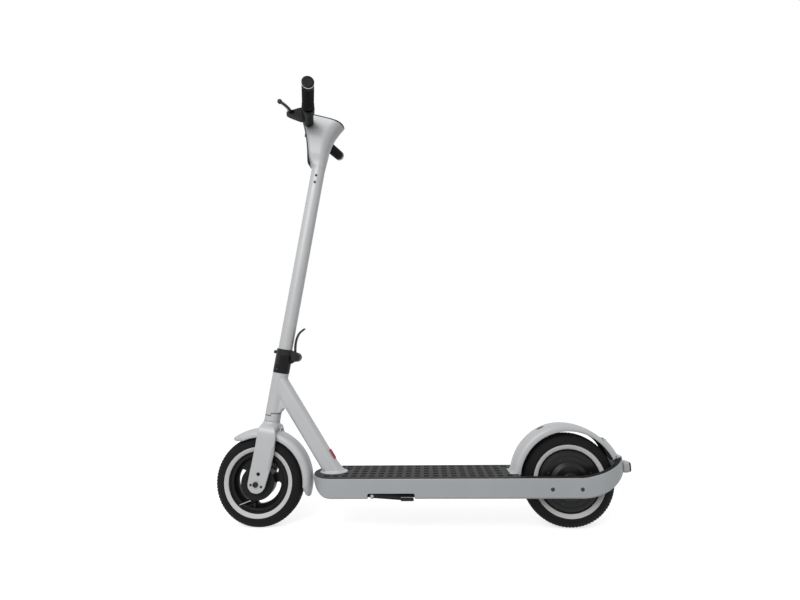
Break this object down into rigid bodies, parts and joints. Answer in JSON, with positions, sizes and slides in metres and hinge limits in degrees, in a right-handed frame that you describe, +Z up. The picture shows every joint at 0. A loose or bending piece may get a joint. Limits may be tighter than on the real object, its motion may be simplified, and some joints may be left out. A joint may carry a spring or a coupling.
{
  "type": "electric scooter",
  "caption": "Folding electric kick scooter with a wide deck, slotted front wheel, rear hub motor, deep fenders and a round stem topped by a display.",
  "frame": {"origin": "on the ground, at the centre of the bounding box's bottom face", "axes": "+Z up, -X towards the front wheel, -Y towards the left side, metres"},
  "size_m": [1.1746, 0.4758, 1.2388],
  "materials": {
    "grey_paint": "satin light grey paint with a fine metallic grain",
    "grey_plastic": "moulded grey plastic, satin",
    "black_paint": "satin black powder coat",
    "tyre_rubber": "matt black tyre rubber with a light reflective ring on the side wall",
    "black_rubber": "matt black moulded rubber",
    "red_rubber": "matt red moulded rubber",
    "black_plastic": "fine grained black plastic",
    "dark_glass": "glossy smoked cover",
    "red_lens": "dark red ribbed lens",
    "steel": "bright zinc plated steel",
    "cast_metal": "die cast aluminium, fine blasted",
    "copper_winding": "enamelled copper winding",
    "battery_wrap": "shrink wrap film"
  },
  "bodies": {
    "frame": {"deck_frame": "grey_paint", "neck_frame": "grey_paint", "deck_mat": "black_rubber", "tail_trim": "black_rubber", "deck_cover": "black_paint", "battery_pack": "battery_wrap", "controller_box": "black_paint", "charge_port": "black_plastic", "rear_fender": "grey_paint", "plate_bracket": "grey_paint", "tail_light_housing": "grey_plastic", "tail_light_lens": "red_lens", "dropout_left": "black_paint", "dropout_right": "black_paint", "rear_axle": "steel", "motor_stator": "copper_winding", "headset_collar": "grey_paint", "bearing_upper": "steel", "bearing_lower": "steel", "kickstand_bracket": "black_paint"},
    "fork": {"fork": "grey_paint", "front_fender": "grey_paint", "front_axle": "black_paint", "fold_base": "black_paint", "brake_plate": "cast_metal", "brake_shoe_upper": "cast_metal", "brake_shoe_lower": "cast_metal"},
    "front_wheel": {"front_tyre": "tyre_rubber", "front_rim": "black_paint", "hub_cover": "black_plastic", "front_valve": "steel"},
    "brake_arm": {"brake_arm": "steel"},
    "stem": {"stem_tube": "grey_paint", "fold_top": "black_paint", "fold_pin": "steel", "cockpit_shell": "grey_paint", "headlight_panel": "dark_glass", "display_cover": "dark_glass", "handlebar": "black_paint", "grip_left": "black_rubber", "grip_right": "black_rubber", "end_cap_left": "black_plastic", "end_cap_right": "black_plastic", "brake_perch": "black_plastic", "throttle_housing": "black_plastic"},
    "latch_lever": {"latch_lever": "black_paint"},
    "safety_button": {"safety_button": "black_plastic"},
    "brake_lever": {"brake_lever": "black_paint"},
    "throttle": {"throttle_lever": "black_plastic"},
    "power_button": {"power_button": "black_plastic"},
    "rear_wheel": {"rear_tyre": "tyre_rubber", "motor_rim": "black_paint", "motor_cover_left": "black_paint", "motor_cover_right": "black_paint", "rear_valve": "steel"},
    "kickstand": {"kickstand_arm": "black_paint", "kickstand_foot": "black_rubber", "kickstand_bolt": "steel"},
    "charge_cap": {"charge_cap": "red_rubber"}
  },
  "joints": [
    {"name": "steering", "type": "hinge", "parent": "frame", "child": "fork", "pos_m": [-0.4605, 0, 0.127], "axis": [0.1736, 0, 0.9848], "range_deg": [-55, 55]},
    {"name": "stem_fold", "type": "hinge", "parent": "fork", "child": "stem", "pos_m": [-0.35904, 0, 0.47954], "axis": [0, 1, 0], "range_deg": [0, 94.5]},
    {"name": "latch_turn", "type": "hinge", "parent": "stem", "child": "latch_lever", "pos_m": [-0.35904, 0, 0.47954], "axis": [0, 1, 0], "range_deg": [0, 65]},
    {"name": "safety_push", "type": "slide", "parent": "stem", "child": "safety_button", "axis": [0.9848, 0, -0.1736], "range_m": [0, 0.003], "stiffness_N_per_m": 300, "springref_m": -0.002},
    {"name": "front_wheel_spin", "type": "hinge", "parent": "fork", "child": "front_wheel", "pos_m": [-0.4605, 0, 0.127], "axis": [0, 1, 0], "continuous": true},
    {"name": "rear_wheel_spin", "type": "hinge", "parent": "frame", "child": "rear_wheel", "pos_m": [0.4135, 0, 0.127], "axis": [0, 1, 0], "continuous": true},
    {"name": "brake_pull", "type": "hinge", "parent": "stem", "child": "brake_lever", "pos_m": [-0.35883, -0.0902, 1.20093], "axis": [0.1729, 0.0949, 0.9804], "range_deg": [0, 18], "stiffness_Nm_per_rad": 1, "springref_deg": -5.73},
    {"name": "brake_arm_turn", "type": "hinge", "parent": "fork", "child": "brake_arm", "pos_m": [-0.43637, 0, 0.12275], "axis": [0, 1, 0], "range_deg": [0, 15]},
    {"name": "throttle_turn", "type": "hinge", "parent": "stem", "child": "throttle", "pos_m": [-0.32048, 0.0345, 1.19694], "axis": [0.24, 0.9694, 0.0515], "range_deg": [0, 35], "stiffness_Nm_per_rad": 0.1, "springref_deg": -11.46},
    {"name": "power_push", "type": "slide", "parent": "stem", "child": "power_button", "axis": [-0.2758, 0, -0.9612], "range_m": [0, 0.001], "stiffness_N_per_m": 300, "springref_m": -0.001},
    {"name": "kickstand_swing", "type": "hinge", "parent": "frame", "child": "kickstand", "pos_m": [-0.1295, -0.064, 0.1], "axis": [0, 0.9659, -0.2588], "range_deg": [0, 105]},
    {"name": "charge_cap_open", "type": "hinge", "parent": "frame", "child": "charge_cap", "pos_m": [-0.25814, 0, 0.21159], "axis": [0, -1, 0], "range_deg": [0, 110]}
  ],
  "couplings": [
    {"joint": "brake_arm_turn", "follows": "brake_pull", "ratio": 0.8}
  ]
}
